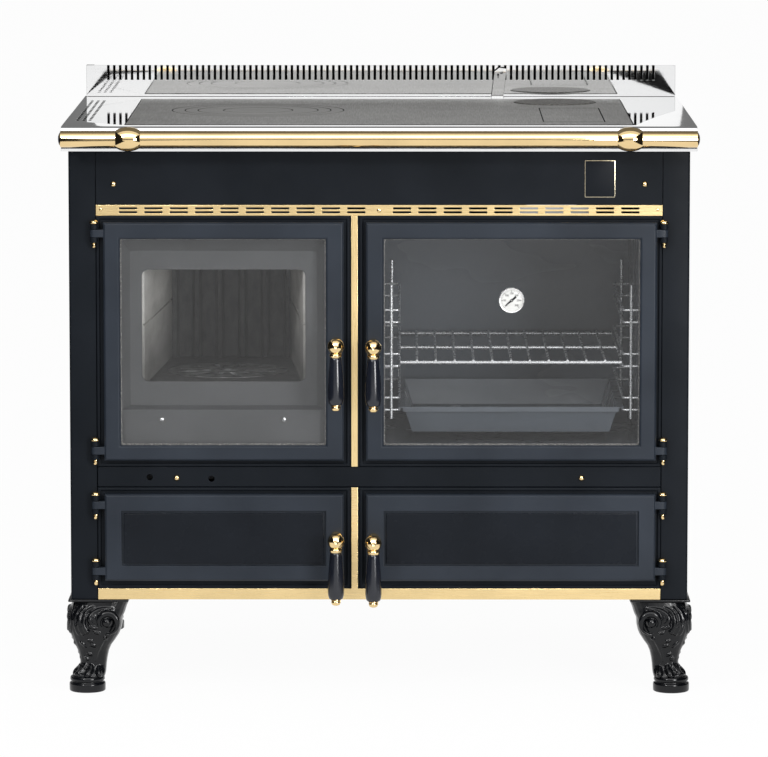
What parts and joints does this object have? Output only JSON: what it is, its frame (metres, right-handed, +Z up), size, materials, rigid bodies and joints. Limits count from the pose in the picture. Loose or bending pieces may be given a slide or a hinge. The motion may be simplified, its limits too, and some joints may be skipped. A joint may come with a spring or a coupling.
{
  "type": "wood cookstove",
  "caption": "Freestanding wood cookstove with ringed hob, glazed firebox and oven doors, lower storage doors, brass towel rail, slotted rear upstand and scrolled cast legs.",
  "frame": {"origin": "centre of the bounding box's base, on the floor between the legs", "axes": "+X to the right seen from the front, +Y from the front doors to the back, +Z up"},
  "size_m": [1.004, 0.766, 0.9586],
  "materials": {
    "satin_black_steel": "satin black baked paint",
    "charcoal_door": "satin charcoal stove paint on cast iron",
    "black_casting": "semi-gloss black on cast iron",
    "stainless_steel": "polished stainless sheet",
    "ground_steel": "ground and oiled hob face",
    "rough_iron": "rough dark casting",
    "satin_brass": "satin brass strip",
    "polished_brass": "polished and lacquered",
    "grey_cast_iron": "bare casting darkened by heat",
    "grey_steel": "heat-proof grey paint",
    "firebrick": "bare refractory brick with smoke stains",
    "dark_enamel": "dark vitreous enamel",
    "chromed_wire": "bright chromed wire",
    "oven_glass": "clear heat-proof glass",
    "glass_rope": "braided glass-fibre rope",
    "zinc_sheet": "galvanised sheet",
    "dial_white": "white printed dial in a metal case",
    "needle_black": "matt black pointer",
    "black_grip": "black heat-proof plastic, satin"
  },
  "bodies": {
    "stove": {"left_side_panel": "satin_black_steel", "right_side_panel": "satin_black_steel", "back_panel": "zinc_sheet", "lower_cabinet": "satin_black_steel", "fascia": "satin_black_steel", "upper_front_frame": "satin_black_steel", "middle_rail": "satin_black_steel", "lower_front_frame": "satin_black_steel", "vent_strip": "satin_brass", "centre_strip": "satin_brass", "bottom_strip": "satin_brass", "worktop": "stainless_steel", "upstand": "stainless_steel", "hob_plate": "ground_steel", "handrail": "polished_brass", "left_rail_bracket": "polished_brass", "right_rail_bracket": "polished_brass", "front_left_leg": "black_casting", "front_right_leg": "black_casting", "rear_left_leg": "black_casting", "rear_right_leg": "black_casting", "firebox_front": "grey_steel", "firebox_casing": "grey_steel", "left_firebrick": "firebrick", "right_firebrick": "firebrick", "firebox_back": "grey_cast_iron", "firebox_floor": "grey_cast_iron", "oven_liner": "dark_enamel", "left_oven_rack": "chromed_wire", "right_oven_rack": "chromed_wire", "flue_collar": "satin_black_steel"},
    "firebox_door_body": {"firebox_door": "charcoal_door", "firebox_glass": "oven_glass", "firebox_gasket": "glass_rope"},
    "firebox_handle_body": {"firebox_handle": "polished_brass", "firebox_grip": "black_grip"},
    "oven_door_body": {"oven_door": "charcoal_door", "oven_glass": "oven_glass", "oven_gasket": "glass_rope", "thermometer": "dial_white"},
    "oven_handle_body": {"oven_handle": "polished_brass", "oven_grip": "black_grip"},
    "needle_body": {"thermometer_needle": "needle_black"},
    "lower_left_door_body": {"lower_left_door": "charcoal_door"},
    "lower_left_handle_body": {"lower_left_handle": "polished_brass", "lower_left_grip": "black_grip"},
    "lower_right_door_body": {"lower_right_door": "charcoal_door"},
    "lower_right_handle_body": {"lower_right_handle": "polished_brass", "lower_right_grip": "black_grip"},
    "ring_outer_body": {"hob_ring_outer": "ground_steel"},
    "ring_middle_body": {"hob_ring_middle": "ground_steel"},
    "ring_inner_body": {"hob_ring_inner": "ground_steel"},
    "lid_body": {"hob_lid": "ground_steel"},
    "flue_cover_body": {"flue_cover": "rough_iron"},
    "cleaning_cover_body": {"cleaning_cover": "ground_steel"},
    "grate_body": {"grate": "grey_cast_iron"},
    "shelf_body": {"oven_shelf": "chromed_wire"},
    "tray_body": {"drip_tray": "dark_enamel"},
    "ash_pan_body": {"ash_pan": "zinc_sheet"},
    "damper_body": {"damper_slide": "stainless_steel"}
  },
  "joints": [
    {"name": "firebox_door_hinge", "type": "hinge", "parent": "stove", "child": "firebox_door_body", "pos_m": [-0.4495, -0.30965, 0.565], "axis": [0, 0, -1], "range_deg": [0, 110]},
    {"name": "oven_door_hinge", "type": "hinge", "parent": "stove", "child": "oven_door_body", "pos_m": [0.4495, -0.30965, 0.565], "axis": [0, 0, 1], "range_deg": [0, 110]},
    {"name": "lower_left_door_hinge", "type": "hinge", "parent": "stove", "child": "lower_left_door_body", "pos_m": [-0.4495, -0.30965, 0.25], "axis": [0, 0, -1], "range_deg": [0, 110]},
    {"name": "lower_right_door_hinge", "type": "hinge", "parent": "stove", "child": "lower_right_door_body", "pos_m": [0.4495, -0.30965, 0.25], "axis": [0, 0, 1], "range_deg": [0, 110]},
    {"name": "firebox_handle_turn", "type": "hinge", "parent": "firebox_door_body", "child": "firebox_handle_body", "pos_m": [-0.0679, -0.36565, 0.5635], "axis": [0, 1, 0], "range_deg": [0, 75]},
    {"name": "oven_handle_turn", "type": "hinge", "parent": "oven_door_body", "child": "oven_handle_body", "pos_m": [-0.0088, -0.36565, 0.5615], "axis": [0, -1, 0], "range_deg": [0, 75]},
    {"name": "lower_left_handle_turn", "type": "hinge", "parent": "lower_left_door_body", "child": "lower_left_handle_body", "pos_m": [-0.0679, -0.36565, 0.254], "axis": [0, 1, 0], "range_deg": [0, 75]},
    {"name": "lower_right_handle_turn", "type": "hinge", "parent": "lower_right_door_body", "child": "lower_right_handle_body", "pos_m": [-0.0088, -0.36565, 0.251], "axis": [0, -1, 0], "range_deg": [0, 75]},
    {"name": "needle_turn", "type": "hinge", "parent": "oven_door_body", "child": "needle_body", "pos_m": [0.209, -0.31865, 0.631], "axis": [0, 1, 0], "range_deg": [0, 270]},
    {"name": "ring_outer_lift", "type": "slide", "parent": "stove", "child": "ring_outer_body", "axis": [0, 0, 1], "range_m": [0, 0.06]},
    {"name": "ring_middle_lift", "type": "slide", "parent": "ring_outer_body", "child": "ring_middle_body", "axis": [0, 0, 1], "range_m": [0, 0.06]},
    {"name": "ring_inner_lift", "type": "slide", "parent": "ring_middle_body", "child": "ring_inner_body", "axis": [0, 0, 1], "range_m": [0, 0.06]},
    {"name": "lid_lift", "type": "slide", "parent": "ring_inner_body", "child": "lid_body", "axis": [0, 0, 1], "range_m": [0, 0.06]},
    {"name": "flue_cover_lift", "type": "slide", "parent": "stove", "child": "flue_cover_body", "axis": [0, 0, 1], "range_m": [0, 0.06]},
    {"name": "cleaning_cover_lift", "type": "slide", "parent": "stove", "child": "cleaning_cover_body", "axis": [0, 0, 1], "range_m": [0, 0.06]},
    {"name": "grate_lift", "type": "slide", "parent": "stove", "child": "grate_body", "axis": [0, 0, 1], "range_m": [0, 0.08]},
    {"name": "shelf_slide", "type": "slide", "parent": "stove", "child": "shelf_body", "axis": [0, -1, 0], "range_m": [0, 0.03]},
    {"name": "tray_slide", "type": "slide", "parent": "stove", "child": "tray_body", "axis": [0, -1, 0], "range_m": [0, 0.03]},
    {"name": "ash_pan_slide", "type": "slide", "parent": "stove", "child": "ash_pan_body", "axis": [0, -1, 0], "range_m": [0, 0.02]},
    {"name": "damper_lift", "type": "slide", "parent": "stove", "child": "damper_body", "axis": [0.1184, 0, 0.993], "range_m": [0, 0.05]}
  ]
}
